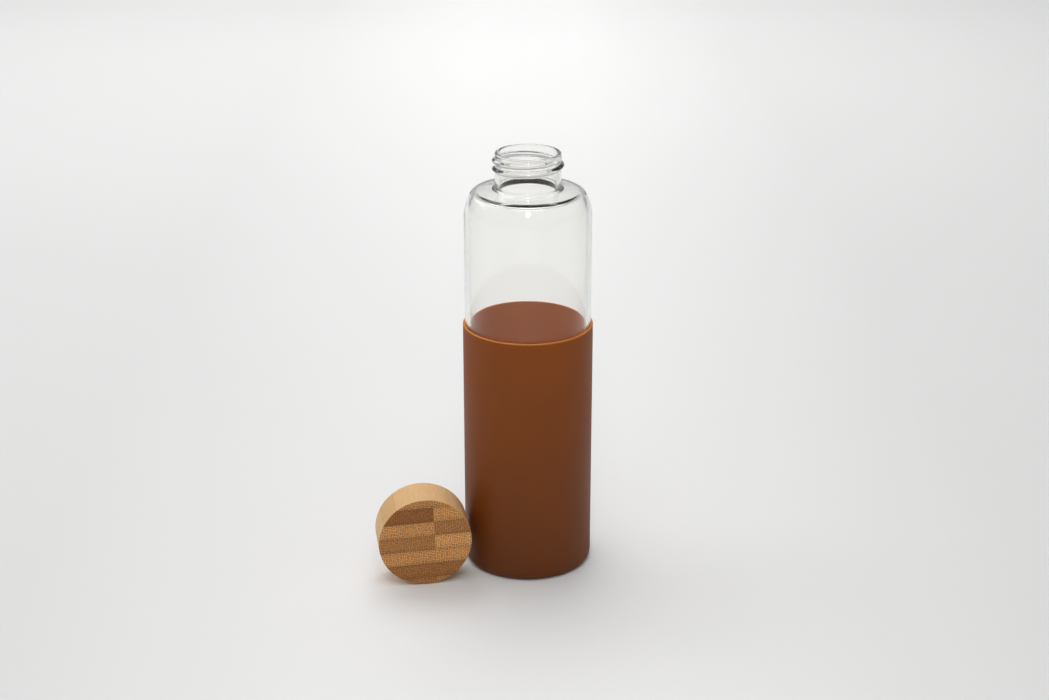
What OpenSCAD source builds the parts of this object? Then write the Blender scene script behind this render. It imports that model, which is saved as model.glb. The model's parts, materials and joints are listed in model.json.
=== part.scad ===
// Glass water bottle in a silicone sleeve, with its bamboo screw cap off and standing on its rim beside it.
// The origin is the centre of the sleeve's flat underside, and +Z points up through the mouth.
// Each piece of the cap is drawn as it sits when closed, in a frame whose origin is the centre of the cap's
// open edge, and is then carried to where it stands beside the bottle.

/* [Glass bottle] */
// Outside diameter of the glass body
glass_d = 63.9; // [60:0.1:68]
// Height of the glass, from its base to its rim
glass_h = 218; // [200:1:240]
// Wall thickness of the body and the shoulder
glass_wall = 2.6; // [1.8:0.1:3.2]
// Thickness of the glass base at its edge
base_t = 5; // [4:0.5:8]
// Radius of the slow curve that draws the wall in below the shoulder
shoulder_r = 22; // [18:0.5:25]
// Angle that the slow curve turns through
shoulder_turn = 30; // [25:1:35]
// Radius of the shoulder's rounded edge
shoulder_edge_r = 5; // [4:0.5:6]
// Slope of the shoulder's top, down from the neck
shoulder_slope = 8; // [4:1:12]
// Radius of the rounded edge under the base
base_edge_r = 4.5; // [3:0.5:6]
// Radius of the rounded corner inside the base
inner_corner_r = 6; // [4:0.5:8]
// Rise of the hollow under the base
punt_rise = 1.5; // [0.5:0.1:2]
// Width of the flat ring that the glass stands on
foot_w = 3; // [2:0.5:5]

/* [Neck] */
// Outside diameter of the neck
neck_d = 33; // [30:0.1:35]
// Diameter of the mouth
mouth_d = 28.5; // [26:0.1:29]
// Height of the rim above the level where the wall begins to draw in
neck_rise = 32.4; // [30:0.1:34]
// Radius of the fillet where the neck meets the shoulder
neck_fillet_r = 2; // [1:0.5:2]
// Radius of the rim's two rounded edges
rim_edge_r = 1; // [0.5:0.1:1]

/* [Thread] */
// Rise of the thread in one turn, six turns to the inch
thread_pitch = 4.2; // [4:0.1:4.4]
// How far a ridge stands out of its wall
thread_h = 1.35; // [1:0.05:1.4]
// Width of the neck's ridge at its sunken root
ridge_root_w = 2.6; // [2.2:0.1:2.6]
// Width of the neck's ridge at its crest
ridge_crest_w = 1.1; // [0.6:0.1:1.2]
// How much narrower the liner's ridge is than the neck's
ridge_ease = 0.3; // [0.2:0.1:0.4]
// Number of turns
thread_turns = 1.5; // [1:0.25:1.5]
// Direction in which the thread begins, anticlockwise from +X
thread_start = 150; // [0:10:350]
// Depth below the rim at which the thread begins
thread_depth = 8.6; // [8:0.1:9]

/* [Silicone sleeve] */
// Height of the sleeve
sleeve_h = 131; // [90:1:150]
// Wall thickness of the sleeve
sleeve_wall = 1; // [1:0.1:2]
// Thickness of the sleeve's floor
sleeve_floor = 1.5; // [1.5:0.1:3]
// Radius of the rounded edge under the sleeve
sleeve_edge_r = 4; // [3:0.5:4]

/* [Cap] */
// Outside diameter of the bamboo cap
cap_d = 47.7; // [47:0.1:52]
// Height of the bamboo cap
cap_h = 21.3; // [20:0.1:23]
// Thickness of the bamboo over the liner
cap_top = 4; // [3:0.1:5]
// Radius of the edge round the cap's top
cap_edge_r = 0.6; // [0.3:0.1:1]
// Thickness of the liner's wall and roof
liner_wall = 1.6; // [1.2:0.1:1.8]
// Thickness of the seal ring
seal_t = 2; // [1.5:0.1:2.5]
// Inside diameter of the seal ring
seal_bore = 26.8; // [26:0.1:28]

/* [Cap beside the bottle] */
// Sideways place of the standing cap's centre
cap_x = -53.9; // [-80:0.1:-53.9]
// Place of the standing cap's centre towards the front
cap_y = -25.3; // [-60:0.1:-25.3]
// Turn of the cap's top face away from the front, to the right
cap_turn = 9; // [0:1:20]
// Height by which the bottle draws up out of its sleeve
lift = 150; // [140:1:170]

/* [Hidden] */

$fn = 96;
arc_steps = 10;
// Gap between the glass and the sleeve, and between the cap's pieces where they fit round each other
fit_gap = 0.05;
// Room between the seal and the rim when closed, which the real seal fills when it is squeezed
seat_gap = 0.2;
// Room between the thread's crests and the wall that they face
thread_gap = 0.35;
// Depth to which a thread's root is sunk in its wall
thread_sink = 0.5;
// Steps in one turn of a thread
thread_steps = 24;
// Turn over which a thread's end rises out of its wall
thread_lead = 30;

// Glass
glass_r = glass_d / 2;
neck_r = neck_d / 2;
mouth_r = mouth_d / 2;
shoulder_z = glass_h - neck_rise;
rim_z = sleeve_floor + glass_h;

// Sleeve
sleeve_bore_r = glass_r + fit_gap;
sleeve_r = sleeve_bore_r + sleeve_wall;
sleeve_bore_edge_r = base_edge_r - 1;
lip_r = 0.45 * sleeve_wall;

// Cap, in its own frame
cap_r = cap_d / 2;
liner_bore_r = neck_r + thread_h + thread_gap;
liner_r = liner_bore_r + liner_wall;
cap_bore_r = liner_r + fit_gap;
liner_top_z = cap_h - cap_top;
liner_edge_z = 0.3;
liner_roof_z = liner_top_z - liner_wall;
seal_z = liner_roof_z - seal_t;
seal_edge_r = 0.3;
seal_clearance = 0.1;
bamboo_edge_r = 0.4;

// The closed cap's open edge, with the bottle in its sleeve, and then with the bottle drawn up
closed_z = rim_z + seat_gap - seal_z;
raised_z = closed_z + lift;

// The swing that carries the cap from the surface to over the raised mouth. It turns the cap's own axis from
// lying to upright, about one fixed line, so that line is square to the way that the cap's centre travels.
up = [0, 0, 1];
standing_centre = [cap_x, cap_y, cap_r];
raised_centre = [0, 0, raised_z + cap_h / 2];
travel = raised_centre - standing_centre;
standing_axis = [sin(cap_turn), -cos(cap_turn), 0];
between_axes = (standing_axis + up) / sqrt(2);
side_axis = cross(standing_axis, up);
swing_lean = atan2(travel * between_axes, -(travel * side_axis));
swing_axis = cos(swing_lean) * between_axes + sin(swing_lean) * side_axis;
axis_share = pow(swing_axis * up, 2);
swing_angle = acos((standing_axis * up - axis_share) / (1 - axis_share));
swing_centre = (standing_centre + raised_centre) / 2
    + cross(swing_axis, travel) / (2 * tan(swing_angle / 2));

// Points along an arc from one angle to another; first is 1 where the arc carries on from another
function arc(centre, r, from, to, first = 0) =
    [for (i = [first:arc_steps]) let (a = from + (to - from) * i / arc_steps) centre + r * [cos(a), sin(a)]];

// The glass's outline from the top of its straight wall to the foot of its neck, for a body wall at wall_r
// and a neck wall at inner_r: the slow curve, the shoulder's edge, and the fillet that ends its sloping top
function shoulder_outline(wall_r, inner_r) =
    let (
        depth = glass_r - wall_r,
        slow = [glass_r - shoulder_r, shoulder_z],
        edge = slow + (shoulder_r - shoulder_edge_r) * [cos(shoulder_turn), sin(shoulder_turn)],
        edge_r = shoulder_edge_r - depth,
        top_a = 90 - shoulder_slope,
        top = edge + edge_r * [cos(top_a), sin(top_a)],
        fillet_x = inner_r + neck_fillet_r,
        fillet = [fillet_x, top.y + (neck_fillet_r - (fillet_x - top.x) * cos(top_a)) / sin(top_a)]
    )
    concat(
        arc(slow, shoulder_r - depth, 0, shoulder_turn),
        arc(edge, edge_r, shoulder_turn, top_a, 1),
        arc(fillet, neck_fillet_r, 180 + top_a, 180)
    );

// Outline of the glass: up the outside, over the rim and down the inside
function glass_outline() =
    let (rim_y = glass_h - rim_edge_r, inner_r = glass_r - glass_wall)
    concat(
        [[0, punt_rise], [glass_r - base_edge_r - foot_w, 0]],
        arc([glass_r - base_edge_r, base_edge_r], base_edge_r, -90, 0),
        shoulder_outline(glass_r, neck_r),
        arc([neck_r - rim_edge_r, rim_y], rim_edge_r, 0, 90),
        arc([mouth_r + rim_edge_r, rim_y], rim_edge_r, 90, 180),
        reversed(shoulder_outline(inner_r, mouth_r)),
        arc([inner_r - inner_corner_r, base_t + inner_corner_r], inner_corner_r, 0, -90),
        [[0, base_t + punt_rise]]
    );

function reversed(list) = [for (i = [len(list) - 1:-1:0]) list[i]];

// Section of a thread ridge whose crest stands h from the wall; side is 1 for a ridge on the outside of a
// wall and -1 for one inside a bore
function ridge_section(wall_r, h, root_w, crest_w, side) =
    let (
        root_r = wall_r - side * thread_sink,
        crest_r = wall_r + side * h,
        points = [
            [root_r, -root_w / 2],
            [crest_r, -crest_w / 2],
            [crest_r, crest_w / 2],
            [root_r, root_w / 2]
        ]
    )
    side > 0 ? points : reversed(points);

// A right-hand helical ridge that begins at the height z, with both ends rising out of the wall
module thread_ridge(wall_r, root_w, crest_w, side, z) {
    steps = round(thread_turns * thread_steps);
    corners = 4;
    points = [for (i = [0:steps])
        let (
            turned = 360 * i / thread_steps,
            left = 360 * thread_turns - turned,
            rise = min(1, turned / thread_lead, left / thread_lead),
            a = thread_start + turned,
            crest = (thread_h + thread_sink / 2) * rise - thread_sink / 2
        )
        for (p = ridge_section(wall_r, crest, root_w, crest_w, side))
            [p.x * cos(a), p.x * sin(a), z + thread_pitch * turned / 360 + p.y]
    ];
    walls = [for (i = [0:steps - 1], k = [0:corners - 1])
        let (
            a = corners * i + k,
            b = corners * i + (k + 1) % corners
        )
        each [[a, b, b + corners], [a, b + corners, a + corners]]
    ];
    last = corners * steps;
    ends = [[for (k = [corners - 1:-1:0]) k], [for (k = [0:corners - 1]) last + k]];
    polyhedron(points = points, faces = concat(walls, ends), convexity = 6);
}

// Moves the cap's pieces from closed on the raised bottle to standing beside it
module beside_bottle() {
    translate(swing_centre)
        rotate(a = -swing_angle, v = swing_axis)
        translate(-swing_centre)
        translate([0, 0, raised_z])
        children();
}

module silicone_sleeve() {
    color("saddlebrown")
        rotate_extrude()
        polygon(concat(
            [[0, 0]],
            arc([sleeve_r - sleeve_edge_r, sleeve_edge_r], sleeve_edge_r, -90, 0),
            arc([sleeve_r - lip_r, sleeve_h - lip_r], lip_r, 0, 90),
            arc([sleeve_bore_r + lip_r, sleeve_h - lip_r], lip_r, 90, 180),
            arc([sleeve_bore_r - sleeve_bore_edge_r, sleeve_floor + sleeve_bore_edge_r],
                sleeve_bore_edge_r, 0, -90),
            [[0, sleeve_floor]]
        ));
}

module glass_bottle() {
    color("lightcyan", 0.4)
        translate([0, 0, sleeve_floor]) {
            rotate_extrude()
                polygon(glass_outline());
            thread_ridge(neck_r, ridge_root_w, ridge_crest_w, 1, glass_h - thread_depth);
        }
}

module bamboo_cap() {
    color("burlywood")
        beside_bottle()
        rotate_extrude()
        polygon(concat(
            [[cap_bore_r, 0]],
            arc([cap_r - bamboo_edge_r, bamboo_edge_r], bamboo_edge_r, -90, 0),
            arc([cap_r - cap_edge_r, cap_h - cap_edge_r], cap_edge_r, 0, 90),
            [[0, cap_h], [0, liner_top_z], [cap_bore_r, liner_top_z]]
        ));
}

module cap_liner() {
    color("whitesmoke")
        beside_bottle() {
            rotate_extrude()
                polygon([
                    [liner_bore_r, liner_edge_z],
                    [liner_r, liner_edge_z],
                    [liner_r, liner_top_z],
                    [0, liner_top_z],
                    [0, liner_roof_z],
                    [liner_bore_r, liner_roof_z]
                ]);
            thread_ridge(liner_bore_r, ridge_root_w - ridge_ease, ridge_crest_w - ridge_ease, -1,
                rim_z - closed_z - thread_depth - thread_pitch / 2);
        }
}

module seal_ring() {
    seal_r = liner_bore_r - seal_clearance;
    color("gainsboro")
        beside_bottle()
        rotate_extrude()
        polygon(concat(
            [[seal_bore / 2, liner_roof_z]],
            arc([seal_bore / 2 + seal_edge_r, seal_z + seal_edge_r], seal_edge_r, 180, 270),
            arc([seal_r - seal_edge_r, seal_z + seal_edge_r], seal_edge_r, -90, 0),
            [[seal_r, liner_roof_z]]
        ));
}

silicone_sleeve();
glass_bottle();
bamboo_cap();
cap_liner();
seal_ring();
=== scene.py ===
"""The look of the glass water bottle: a visible piece for each CAD node, materials, studio and camera.

Lengths in outlines are in millimetres, as in part.scad, and become metres when a mesh is made. The cap's
pieces are drawn in the cap's own frame, whose origin is the centre of its open edge.
"""
import json
import math

import bmesh
import bpy
from mathutils import Matrix, Vector


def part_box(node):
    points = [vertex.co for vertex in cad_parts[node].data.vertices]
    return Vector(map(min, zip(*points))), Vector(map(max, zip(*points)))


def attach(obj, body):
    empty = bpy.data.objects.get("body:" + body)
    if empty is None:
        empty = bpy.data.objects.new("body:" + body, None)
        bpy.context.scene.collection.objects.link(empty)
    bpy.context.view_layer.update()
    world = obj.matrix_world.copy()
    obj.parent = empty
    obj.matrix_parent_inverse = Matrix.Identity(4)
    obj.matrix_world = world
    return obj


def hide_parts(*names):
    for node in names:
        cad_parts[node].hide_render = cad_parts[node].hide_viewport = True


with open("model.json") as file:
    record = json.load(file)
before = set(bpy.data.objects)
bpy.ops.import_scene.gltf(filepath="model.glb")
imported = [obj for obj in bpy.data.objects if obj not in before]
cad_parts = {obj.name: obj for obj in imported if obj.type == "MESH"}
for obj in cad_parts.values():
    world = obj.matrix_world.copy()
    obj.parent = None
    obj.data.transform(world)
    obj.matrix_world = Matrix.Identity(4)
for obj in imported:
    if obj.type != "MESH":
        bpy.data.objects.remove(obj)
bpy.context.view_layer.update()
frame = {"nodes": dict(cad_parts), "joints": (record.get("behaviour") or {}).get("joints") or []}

MM = 0.001
glass_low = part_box("glass_bottle")[0].z / MM

# Glass
GLASS_R = 31.95
GLASS_H = 218
GLASS_WALL = 2.6
BASE_T = 5
SHOULDER_R = 22
SHOULDER_TURN = 30
SHOULDER_EDGE_R = 5
SHOULDER_SLOPE = 8
BASE_EDGE_R = 4.5
INNER_CORNER_R = 6
PUNT_RISE = 1.5
FOOT_W = 3
NECK_R = 16.5
MOUTH_R = 14.25
NECK_RISE = 32.4
NECK_FILLET_R = 2
RIM_EDGE_R = 1

# Thread
PITCH = 4.2
RIDGE_H = 1.35
RIDGE_W = 3.0
LINER_RIDGE_W = 2.4
TURNS = 1.5
THREAD_START = 150
THREAD_DEPTH = 8.6
THREAD_LEAD = 30
THREAD_ROW = 0.3

# Sleeve
SLEEVE_H = 131
SLEEVE_FLOOR = 1.5
BORE_R = 32.0
SLEEVE_R = 33.0
LIP_OUTER_R = 0.7
LIP_INNER_R = 0.25
SLEEVE_EDGE_R = 4
BORE_EDGE_R = 3.5

# Cap
CAP_R = 23.85
CAP_H = 21.3
CAP_TOP = 4
CAP_EDGE_R = 0.6
OPEN_EDGE_R = 0.4
LINER_R = 19.8
LINER_BORE_R = 18.2
LINER_EDGE_Z = 0.3
LINER_WALL = 1.6
FIT_GAP = 0.05
SEAL_T = 2
SEAL_R = 18.1
SEAL_BORE_R = 13.4
SEAL_EDGE_R = 0.3
SEAT_GAP = 0.2
LIFT = 150

# Bamboo strips on the cap's face, in mm from its centre, listed from the lowest; 0 is dark and 1 is pale
STRIP_H = 7.85
LOWEST_STRIP = -27.85
COLUMN_JOINT = 5.0
PATTERN_TURN = 2.0
LEFT_STRIPS = (0.35, 0.2, 0.78, 0.35, 0.75, 0.0, 0.55)
RIGHT_STRIPS = (0.6, 0.2, 0.85, 1.0, 0.3, 0.8, 0.6)
DOTS_PER_MM = 1.1

# Colours, as linear red, green, blue and alpha
BROWN_DEEP = (0.27, 0.062, 0.0035, 1)
BROWN = (0.34, 0.083, 0.005, 1)
BROWN_DUSTY = (0.42, 0.2, 0.09, 1)
# Painted light: a paler brown for the sleeve's inside, standing in for light that reaches it more brightly
# than the outside.
BROWN_INSIDE_PAINTED_LIGHT = (0.6, 0.17, 0.012, 1)
# Painted highlight: a paler brown standing in for light from above catching the top of the lip.
BROWN_LIP_PAINTED_HIGHLIGHT = (0.6, 0.2, 0.03, 1)
END_GRAIN_DARK = (0.29, 0.095, 0.018, 1)
END_GRAIN_PALE = (0.96, 0.48, 0.165, 1)
END_GRAIN_DOT = (0.09, 0.025, 0.006, 1)
STRAW_DARK = (0.68, 0.41, 0.18, 1)
STRAW_PALE = (0.80, 0.53, 0.27, 1)
FIBRE_SHADE = (0.82, 0.76, 0.68, 1)
GLUE = (0.16, 0.06, 0.02, 1)

# Studio, in metres and watts: name, place, target, size, power and beam in degrees
LAMPS = (
    ("key", (-1.6, 0.85, 1.7), (0, 0, 0.1), (2.0, 2.0), 14, 180),
    ("near", (0, -0.35, 1.0), (0, 0, 0.1), (0.7, 0.7), 2.6, 180),
    ("strip", (0, -0.4, 0.45), (0, 0, 0.12), (0.06, 0.1), 0.3, 180),
    ("far", (-0.1, 1.3, 1.9), (-0.1, 1.3, 0), (1.6, 1.6), 19, 180),
    ("beyond", (0, 1.4, 1.8), (0, 1.4, 0), (0.6, 0.6), 2.2, 90),
)
FLOOR_HALF = 12
WORLD_NEAR = 0.3
WORLD_BEYOND = 0.43

# Camera: its place, how far it looks down, and its focal length in pixels of the 1049 wide frame
CAMERA_PLACE = (-0.00173, -0.8855, 0.458)
LOOK_DOWN = 21.15
FOCAL_PIXELS = 1860
FRAME_WIDTH = 1049


def arc(centre, radius, start, end, steps=12):
    """Points along an arc between two angles in degrees."""
    angles = (math.radians(start + (end - start) * i / steps) for i in range(steps + 1))
    return [(centre[0] + radius * math.cos(a), centre[1] + radius * math.sin(a)) for a in angles]


def climb(radius, low, high, step=THREAD_ROW):
    """Points up a straight wall, close enough together to carry a ridge."""
    count = max(1, math.ceil(abs(high - low) / step))
    return [(radius, low + (high - low) * i / count) for i in range(count + 1)]


def turned(name, outline, place=Matrix(), segments=192, ridge=None, crease=35):
    """A closed mesh turned about Z, then placed.

    The outline starts and ends on the axis, or it is a loop that closes itself.
    """
    bm = bmesh.new()
    rings = []
    for radius, z in outline:
        if radius < 1e-6:
            rings.append([bm.verts.new((0, 0, z * MM))] * segments)
            continue
        ring = []
        for k in range(segments):
            angle = 2 * math.pi * k / segments
            r = radius + (ridge(radius, math.degrees(angle), z) if ridge else 0)
            ring.append(bm.verts.new((r * MM * math.cos(angle), r * MM * math.sin(angle), z * MM)))
        rings.append(ring)
    pairs = list(zip(rings, rings[1:]))
    if outline[0][0] > 1e-6:
        pairs.append((rings[-1], rings[0]))
    for low, high in pairs:
        for k in range(segments):
            m = (k + 1) % segments
            corners = []
            for vert in (low[k], low[m], high[m], high[k]):
                if vert not in corners:
                    corners.append(vert)
            bm.faces.new(corners)
    bmesh.ops.transform(bm, matrix=place, verts=bm.verts)
    bmesh.ops.recalc_face_normals(bm, faces=bm.faces)
    mesh = bpy.data.meshes.new(name)
    bm.to_mesh(mesh)
    bm.free()
    mesh.shade_smooth()
    mesh.set_sharp_from_angle(angle=math.radians(crease))
    piece = bpy.data.objects.new(name, mesh)
    bpy.context.scene.collection.objects.link(piece)
    return piece


def eased(t):
    """A smooth step from 0 to 1."""
    t = min(1.0, max(0.0, t))
    return t * t * (3 - 2 * t)


def thread(wall_r, side, start_z, width):
    """How far a right-hand rounded ridge stands out of the wall at wall_r; side is -1 for one in a bore."""
    def ridge(radius, degrees, z):
        if abs(radius - wall_r) > 1e-6:
            return 0
        height = 0
        first = (degrees - THREAD_START) % 360
        for turned_by in (first, first + 360):
            left = 360 * TURNS - turned_by
            if left <= 0:
                continue
            across = (z - start_z - PITCH * turned_by / 360) / (width / 2)
            if abs(across) < 1:
                rise = eased(turned_by / THREAD_LEAD) * eased(left / THREAD_LEAD)
                height += RIDGE_H * rise * (1 - across * across) ** 1.5
        return side * height
    return ridge


def along(angle, reach):
    """A step of this length in this direction, in degrees."""
    return reach * math.cos(math.radians(angle)), reach * math.sin(math.radians(angle))


def shoulder(wall_r, inner_r):
    """The slow curve, the shoulder's edge and the fillet that ends its sloping top, for these two walls."""
    depth = GLASS_R - wall_r
    slow = (GLASS_R - SHOULDER_R, GLASS_H - NECK_RISE)
    step = along(SHOULDER_TURN, SHOULDER_R - SHOULDER_EDGE_R)
    edge = (slow[0] + step[0], slow[1] + step[1])
    edge_r = SHOULDER_EDGE_R - depth
    top_a = 90 - SHOULDER_SLOPE
    up = along(top_a, 1)
    top = (edge[0] + edge_r * up[0], edge[1] + edge_r * up[1])
    fillet_x = inner_r + NECK_FILLET_R
    fillet = (fillet_x, top[1] + (NECK_FILLET_R - (fillet_x - top[0]) * up[0]) / up[1])
    return (
        arc(slow, SHOULDER_R - depth, 0, SHOULDER_TURN)[:-1]
        + arc(edge, edge_r, SHOULDER_TURN, top_a, 16)
        + arc(fillet, NECK_FILLET_R, 180 + top_a, 180)
    )


def glass_bottle():
    inner_r = GLASS_R - GLASS_WALL
    rim_z = GLASS_H - RIM_EDGE_R
    outer = shoulder(GLASS_R, NECK_R)
    inner = shoulder(inner_r, MOUTH_R)
    outline = [(0, PUNT_RISE), (GLASS_R - BASE_EDGE_R - FOOT_W, 0)]
    outline += arc((GLASS_R - BASE_EDGE_R, BASE_EDGE_R), BASE_EDGE_R, -90, 0)
    outline += outer[:-1] + climb(NECK_R, outer[-1][1], rim_z)[:-1]
    outline += arc((NECK_R - RIM_EDGE_R, rim_z), RIM_EDGE_R, 0, 90)
    outline += arc((MOUTH_R + RIM_EDGE_R, rim_z), RIM_EDGE_R, 90, 180)
    outline += inner[::-1]
    outline += arc((inner_r - INNER_CORNER_R, BASE_T + INNER_CORNER_R), INNER_CORNER_R, 0, -90)
    outline += [(0, BASE_T + PUNT_RISE)]
    ridge = thread(NECK_R, 1, GLASS_H - THREAD_DEPTH, RIDGE_W)
    place = Matrix.Translation((0, 0, glass_low * MM))
    return turned("bottle_glass", outline, place, segments=256, ridge=ridge, crease=60)


def silicone_sleeve():
    outline = [(0, 0)]
    outline += arc((SLEEVE_R - SLEEVE_EDGE_R, SLEEVE_EDGE_R), SLEEVE_EDGE_R, -90, 0)
    outline += arc((SLEEVE_R - LIP_OUTER_R, SLEEVE_H - LIP_OUTER_R), LIP_OUTER_R, 0, 90)
    outline += arc((BORE_R + LIP_INNER_R, SLEEVE_H - LIP_INNER_R), LIP_INNER_R, 90, 180)
    outline += arc((BORE_R - BORE_EDGE_R, SLEEVE_FLOOR + BORE_EDGE_R), BORE_EDGE_R, 0, -90)
    outline += [(0, SLEEVE_FLOOR)]
    return turned("sleeve_silicone", outline)


def bamboo_cap(place):
    bore_r = LINER_R + FIT_GAP
    bore_top = CAP_H - CAP_TOP
    outline = [(0, bore_top), (bore_r, bore_top), (bore_r, 0)]
    outline += arc((CAP_R - OPEN_EDGE_R, OPEN_EDGE_R), OPEN_EDGE_R, -90, 0)
    outline += arc((CAP_R - CAP_EDGE_R, CAP_H - CAP_EDGE_R), CAP_EDGE_R, 0, 90)
    outline += [(0, CAP_H)]
    return turned("cap_bamboo", outline, place)


def cap_liner(place):
    top_z = CAP_H - CAP_TOP
    roof_z = top_z - LINER_WALL
    seal_z = roof_z - SEAL_T
    closed_z = glass_low + GLASS_H + SEAT_GAP - seal_z
    start_z = glass_low + GLASS_H - closed_z - THREAD_DEPTH - PITCH / 2
    outline = [(0, roof_z)] + climb(LINER_BORE_R, roof_z, LINER_EDGE_Z)
    outline += [(LINER_R, LINER_EDGE_Z), (LINER_R, top_z), (0, top_z)]
    ridge = thread(LINER_BORE_R, -1, start_z, LINER_RIDGE_W)
    return turned("cap_liner_plastic", outline, place, ridge=ridge)


def seal_ring(place):
    roof_z = CAP_H - CAP_TOP - LINER_WALL
    low_z = roof_z - SEAL_T
    outline = [(SEAL_BORE_R, roof_z)]
    outline += arc((SEAL_BORE_R + SEAL_EDGE_R, low_z + SEAL_EDGE_R), SEAL_EDGE_R, 180, 270, 6)
    outline += arc((SEAL_R - SEAL_EDGE_R, low_z + SEAL_EDGE_R), SEAL_EDGE_R, -90, 0, 6)
    outline += [(SEAL_R, roof_z)]
    return turned("cap_seal", outline, place)


def cap_place():
    """Takes the cap's own frame to where the cap stands: the carry joint, turned back from its limit."""
    joint = next(j for j in frame["joints"] if j["name"] == "cap_carry")
    pivot = Matrix.Translation(joint["pos_m"])
    back = Matrix.Rotation(-math.radians(joint["range_deg"][1]), 4, Vector(joint["axis"]))
    seal_z = CAP_H - CAP_TOP - LINER_WALL - SEAL_T
    raised_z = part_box("glass_bottle")[1].z + (SEAT_GAP - seal_z + LIFT) * MM
    return pivot @ back @ pivot.inverted() @ Matrix.Translation((0, 0, raised_z))


# ---------------------------------------------------------------- materials

class Paint:
    """A material's node tree, with short calls that add nodes to it."""

    def __init__(self, name, **plain):
        self.material = bpy.data.materials.new(name)
        self.material.use_nodes = True
        self.tree = self.material.node_tree
        self.shader = self.tree.nodes["Principled BSDF"]
        self.place = self.tree.nodes.new("ShaderNodeTexCoord")
        for socket, value in plain.items():
            self.shader.inputs[socket.replace("_", " ")].default_value = value

    def add(self, kind, inputs=(), **settings):
        node = self.tree.nodes.new("ShaderNode" + kind)
        for key, value in settings.items():
            setattr(node, key, value)
        for key, value in dict(inputs).items():
            self.feed(node.inputs[key], value)
        return node

    def feed(self, socket, value):
        if isinstance(value, bpy.types.NodeSocket):
            self.tree.links.new(value, socket)
        else:
            socket.default_value = value

    def drive(self, **sockets):
        for name, value in sockets.items():
            self.feed(self.shader.inputs[name.replace("_", " ")], value)

    def stretched(self, scale, turn=0.0, source=None):
        """The piece's own coordinates, or the source, turned about Z and then stretched."""
        mapping = self.add("Mapping", {
            "Vector": source or self.place.outputs["Object"],
            "Scale": scale,
            "Rotation": (0, 0, turn),
        })
        return mapping.outputs[0]

    def noise(self, vector, scale=1.0, detail=3.0, roughness=0.5):
        inputs = {"Vector": vector, "Scale": scale, "Detail": detail, "Roughness": roughness}
        return self.add("TexNoise", inputs).outputs["Fac"]

    def math(self, operation, a, b=0.0, clamp=False):
        node = self.add("Math", operation=operation, use_clamp=clamp)
        self.feed(node.inputs[0], a)
        self.feed(node.inputs[1], b)
        return node.outputs[0]

    def spread(self, value, low, high, to_low=0.0, to_high=1.0):
        """The value moved from one range to another, and kept inside it."""
        inputs = {"Value": value, "From Min": low, "From Max": high, "To Min": to_low, "To Max": to_high}
        return self.add("MapRange", inputs).outputs[0]

    def bands(self, value, stops, interpolation="LINEAR"):
        """A grey that follows the value through (position, brightness) stops."""
        node = self.add("ValToRGB", {"Fac": value})
        band = node.color_ramp
        band.interpolation = interpolation
        while len(band.elements) > 1:
            band.elements.remove(band.elements[-1])
        for i, (position, grey) in enumerate(stops):
            element = band.elements[0] if i == 0 else band.elements.new(position)
            element.position = position
            element.color = (grey, grey, grey, 1)
        return node.outputs["Color"]

    def mix(self, factor, a, b, blend="MIX"):
        node = self.add("Mix", data_type="RGBA", blend_type=blend, clamp_factor=True)
        self.feed(node.inputs[0], factor)
        self.feed(node.inputs[6], a)
        self.feed(node.inputs[7], b)
        return node.outputs[2]

    def bump(self, height, distance, strength=1.0):
        node = self.add("Bump", {"Height": height, "Distance": distance, "Strength": strength})
        return node.outputs[0]


def glass_paint():
    """Clear glass with the faint upright waves of a blown wall, and a few dry water marks."""
    paint = Paint("clear_glass", Transmission_Weight=1.0, IOR=1.47)
    waves = paint.noise(paint.stretched((110, 110, 9)), detail=2)
    marks = paint.noise(paint.stretched((160, 160, 90)), detail=4)
    tint = paint.mix(waves, (0.985, 0.985, 0.965, 1), (0.998, 0.998, 0.988, 1))
    paint.drive(
        Base_Color=tint,
        Roughness=paint.spread(marks, 0.55, 0.8, 0.0, 0.04),
        Normal=paint.bump(waves, 0.00005),
    )
    return paint.material


def silicone_paint():
    """Matt brown silicone: grain and patches of dust, with painted shade deeper toward the base, a paler
    inside standing in for light and a painted highlight at the lip.
    """
    paint = Paint("silicone_brown", IOR=1.41, Specular_IOR_Level=0.36)
    metres = paint.place.outputs["Object"]
    height = paint.add("SeparateXYZ", {"Vector": metres}).outputs["Z"]
    patches = paint.noise(paint.stretched((40, 40, 26)), detail=4)
    grain = paint.noise(metres, scale=2600, detail=2)
    dust = paint.noise(metres, scale=900, detail=3, roughness=0.7)
    brown = paint.mix(patches, BROWN_DEEP, BROWN)
    brown = paint.mix(paint.spread(dust, 0.62, 0.8, 0, 0.12), brown, BROWN_DUSTY)
    # Painted shade: the brown darkens toward the base, standing in for light that falls off down the sleeve's
    # front.
    shade = paint.spread(height, 0, SLEEVE_H * MM, 0.46, 0.83)
    brown = paint.mix(1, brown, shade, "MULTIPLY")

    flat = paint.add("VectorMath", {0: metres, 1: (1, 1, 0)}, operation="MULTIPLY").outputs[0]
    from_axis = paint.add("VectorMath", {0: flat}, operation="LENGTH").outputs["Value"]
    near_axis = paint.spread(from_axis, (BORE_R + 0.05) * MM, (BORE_R + 0.3) * MM, 1, 0)
    # Painted light: the sleeve's inside gets a paler brown, as if more brightly lit than the outside.
    inside = paint.math("MULTIPLY", near_axis, paint.spread(height, 5 * MM, 8 * MM))
    brown = paint.mix(inside, brown, BROWN_INSIDE_PAINTED_LIGHT)
    # Painted highlight: the top of the lip turns paler, standing in for light from above catching it.
    lip = paint.spread(height, (SLEEVE_H - 0.9) * MM, (SLEEVE_H - 0.2) * MM, 0, 0.8)
    paint.drive(
        Base_Color=paint.mix(lip, brown, BROWN_LIP_PAINTED_HIGHLIGHT),
        Roughness=paint.spread(patches, 0.3, 0.7, 0.5, 0.6),
        Normal=paint.bump(grain, 0.00002, 0.6),
    )
    return paint.material


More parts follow.
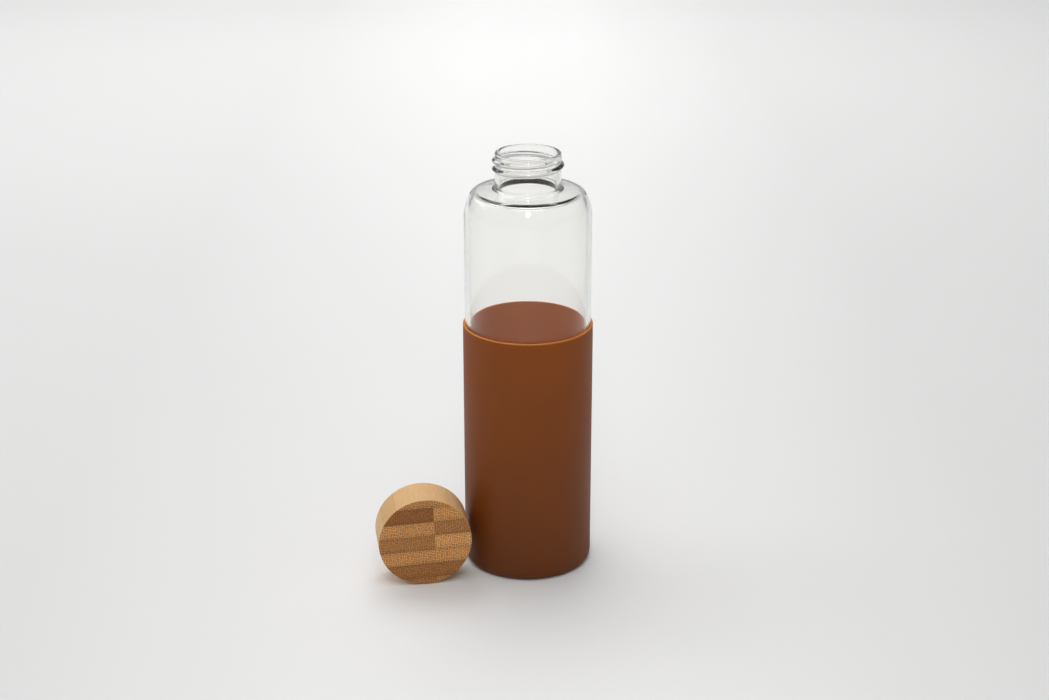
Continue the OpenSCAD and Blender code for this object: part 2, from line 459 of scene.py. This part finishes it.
def in_strips(paint, place, outward):
    """The cap's coordinates in mm, with X along its strips, Y across them and Z along its axis."""
    along_strips = place.to_3x3().inverted() @ Vector((0, 0, 1)).cross(outward)
    heading = math.atan2(along_strips.y, along_strips.x) + math.radians(PATTERN_TURN)
    in_cap = paint.add("Mapping", {
        "Vector": paint.place.outputs["Object"],
        "Location": place.translation,
        "Rotation": place.to_euler(),
    }, vector_type="TEXTURE").outputs[0]
    return paint.stretched((1 / MM, 1 / MM, 1 / MM), -heading, source=in_cap)


def strips(paint, across, cloud):
    """Each strip's tone, from 0 to 1, and the place within its height."""
    parts = paint.add("SeparateXYZ", {"Vector": across})
    rows = paint.math("DIVIDE", paint.math("SUBTRACT", parts.outputs["Y"], LOWEST_STRIP), STRIP_H)
    count = len(LEFT_STRIPS)
    share = paint.math("DIVIDE", rows, count)
    left, right = (
        paint.bands(share, [(i / count, tone) for i, tone in enumerate(tones)], "CONSTANT")
        for tones in (LEFT_STRIPS, RIGHT_STRIPS)
    )
    on_right = paint.math("GREATER_THAN", parts.outputs["X"], COLUMN_JOINT)
    tone = paint.mix(0.25, paint.mix(on_right, left, right), cloud)
    return tone, paint.math("FRACT", rows)


def dark_dots(paint, across):
    """The ends of the bamboo's fibre bundles, as dots across the end grain."""
    dots = paint.add("TexVoronoi", {
        "Vector": paint.stretched((1, 1, 0), source=across),
        "Scale": DOTS_PER_MM,
        "Randomness": 0.5,
    }, voronoi_dimensions="2D")
    return paint.spread(dots.outputs["Distance"], 0.18, 0.42, 1, 0)


def bamboo_paint(place):
    """Laminated bamboo: dark-dotted end grain on the cap's face, straight fibres along its side."""
    paint = Paint("bamboo", IOR=1.45, Specular_IOR_Level=0.3)
    outward = place.to_3x3() @ Vector((0, 0, 1))
    across = in_strips(paint, place, outward)
    cloud = paint.noise(across, scale=0.25, detail=4)
    tone, within = strips(paint, across, cloud)

    fade = paint.bands(within, [(0, 0.8), (0.35, 1), (0.75, 1), (1, 0.86)])
    end_grain = paint.mix(1, paint.mix(tone, END_GRAIN_DARK, END_GRAIN_PALE), fade, "MULTIPLY")
    dot = dark_dots(paint, across)
    strength = paint.spread(paint.noise(across, scale=0.5), 0.35, 0.65, 0.7, 1.0)
    end_grain = paint.mix(paint.math("MULTIPLY", dot, strength), end_grain, END_GRAIN_DOT)

    fibres = paint.noise(paint.stretched((5, 5, 0.12), source=across), detail=4, roughness=0.6)
    fine = paint.noise(paint.stretched((14, 14, 0.3), source=across), detail=2)
    straw = paint.mix(tone, STRAW_DARK, STRAW_PALE)
    shaded = paint.mix(1, straw, FIBRE_SHADE, "MULTIPLY")
    side = paint.mix(paint.spread(fibres, 0.35, 0.65), shaded, straw)

    normal = paint.place.outputs["Normal"]
    facing = paint.add("VectorMath", {0: normal, 1: outward}, operation="DOT_PRODUCT")
    is_end = paint.spread(paint.math("ABSOLUTE", facing.outputs["Value"]), 0.55, 0.8)
    to_joint = paint.math("ABSOLUTE", paint.math("SUBTRACT", within, 0.5))
    glue = paint.spread(to_joint, 0.485, 0.497, 0, 0.35)
    relief = paint.mix(is_end, paint.math("ADD", fibres, fine), paint.math("SUBTRACT", 1, dot))
    paint.drive(
        Base_Color=paint.mix(glue, paint.mix(is_end, side, end_grain), GLUE),
        Roughness=paint.spread(cloud, 0.3, 0.7, 0.42, 0.6),
        Normal=paint.bump(relief, 0.00005, 0.5),
    )
    return paint.material


def plastic_paint(name, low, high, roughness, scale, **plain):
    """A pale moulded material with a faint cloud in its colour, fine grain and slight differences in gloss."""
    paint = Paint(name, **plain)
    metres = paint.place.outputs["Object"]
    cloud = paint.noise(metres, scale=scale, detail=4)
    grain = paint.noise(metres, scale=2200, detail=2)
    paint.drive(
        Base_Color=paint.mix(cloud, (*low, 1), (*high, 1)),
        Roughness=paint.spread(cloud, 0.3, 0.7, roughness - 0.06, roughness + 0.08),
        Normal=paint.bump(grain, 0.00001, 0.6),
    )
    return paint.material


def floor_paint():
    """Pale matt paper, with painted shade that makes it a little darker away to both sides."""
    paint = Paint("studio_floor")
    metres = paint.place.outputs["Object"]
    cloud = paint.noise(metres, scale=3, detail=2)
    aside = paint.math("ABSOLUTE", paint.add("SeparateXYZ", {"Vector": metres}).outputs["X"])
    # Painted shade: the floor darkens away to both sides, standing in for light that falls off there.
    painted_side_shade = paint.spread(aside, 0.06, 0.26, 1, 0.9)
    pale = paint.mix(cloud, (0.8, 0.8, 0.795, 1), (0.82, 0.82, 0.815, 1))
    paint.drive(
        Base_Color=paint.mix(1, pale, painted_side_shade, "MULTIPLY"),
        Roughness=paint.spread(cloud, 0, 1, 0.7, 0.8),
    )
    return paint.material


# ---------------------------------------------------------------- pieces

place = cap_place()
pieces = (
    (silicone_sleeve(), "silicone_sleeve", "sleeve", "silicone_brown", silicone_paint()),
    (glass_bottle(), "glass_bottle", "bottle", "clear_glass", glass_paint()),
    (bamboo_cap(place), "bamboo_cap", "cap", "bamboo", bamboo_paint(place)),
    (cap_liner(place), "cap_liner", "cap", "liner_plastic",
     plastic_paint("liner_plastic", (0.74, 0.74, 0.71), (0.8, 0.8, 0.78), 0.38, 60, IOR=1.49)),
    (seal_ring(place), "seal_ring", "cap", "seal_silicone",
     plastic_paint("seal_silicone", (0.66, 0.68, 0.67), (0.74, 0.76, 0.75), 0.45, 90, IOR=1.41,
                   Subsurface_Weight=0.2, Subsurface_Scale=0.002)),
)
for piece, node, body, slot, material in pieces:
    piece.data.materials.append(material)
    frame["nodes"][node].data.materials.clear()
    frame["nodes"][node].data.materials.append(material)
    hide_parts(node)
    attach(piece, body)

# ---------------------------------------------------------------- studio

def studio_floor():
    mesh = bpy.data.meshes.new("studio_floor")
    corners = [(x * FLOOR_HALF, y * FLOOR_HALF, 0) for x, y in ((-1, -1), (1, -1), (1, 1), (-1, 1))]
    mesh.from_pydata(corners, [], [(0, 1, 2, 3)])
    mesh.materials.append(floor_paint())
    floor = bpy.data.objects.new("studio_floor", mesh)
    bpy.context.scene.collection.objects.link(floor)
    return floor


def softbox(name, place, target, size, power, spread):
    """A rectangular studio light that faces a point; spread is its beam in degrees."""
    light = bpy.data.lights.new(name, "AREA")
    light.shape = "RECTANGLE"
    light.size, light.size_y = size
    light.energy = power
    light.spread = math.radians(spread)
    lamp = bpy.data.objects.new(name, light)
    lamp.location = place
    lamp.rotation_euler = (Vector(target) - Vector(place)).to_track_quat("-Z", "Y").to_euler()
    lamp.visible_camera = False
    bpy.context.scene.collection.objects.link(lamp)


def studio_world():
    """A pale room, brighter beyond the bottle than behind the camera."""
    world = bpy.data.worlds.new("studio")
    world.use_nodes = True
    bpy.context.scene.world = world
    nodes, links = world.node_tree.nodes, world.node_tree.links
    background = nodes["Background"]
    place = nodes.new("ShaderNodeTexCoord")
    parts = nodes.new("ShaderNodeSeparateXYZ")
    links.new(place.outputs["Generated"], parts.inputs[0])
    beyond = nodes.new("ShaderNodeMapRange")
    reach = {"From Min": -0.9, "From Max": 0.5, "To Min": WORLD_NEAR, "To Max": WORLD_BEYOND}
    for key, value in reach.items():
        beyond.inputs[key].default_value = value
    links.new(parts.outputs["Y"], beyond.inputs["Value"])
    links.new(beyond.outputs[0], background.inputs["Strength"])
    background.inputs["Color"].default_value = (1, 1, 1, 1)


def studio_camera():
    camera_data = bpy.data.cameras.new("camera")
    camera_data.sensor_width = 36
    camera_data.lens = camera_data.sensor_width * FOCAL_PIXELS / FRAME_WIDTH
    camera_data.clip_end = 60
    camera = bpy.data.objects.new("camera", camera_data)
    camera.location = CAMERA_PLACE
    camera.rotation_euler = (math.radians(90 - LOOK_DOWN), 0, 0)
    bpy.context.scene.collection.objects.link(camera)
    return camera


studio_floor()
for lamp in LAMPS:
    softbox(*lamp)
studio_world()
bpy.context.scene.camera = studio_camera()
bpy.context.scene.view_settings.view_transform = "Standard"

# Enough bounces for two glass walls seen through each other. Without the blur of light that has passed
# through clear glass onto a matt surface, the sleeve's inside is lit as brightly as it should be.
light_paths = bpy.context.scene.cycles
light_paths.max_bounces = 24
light_paths.transmission_bounces = 24
light_paths.diffuse_bounces = 6
light_paths.blur_glossy = 0
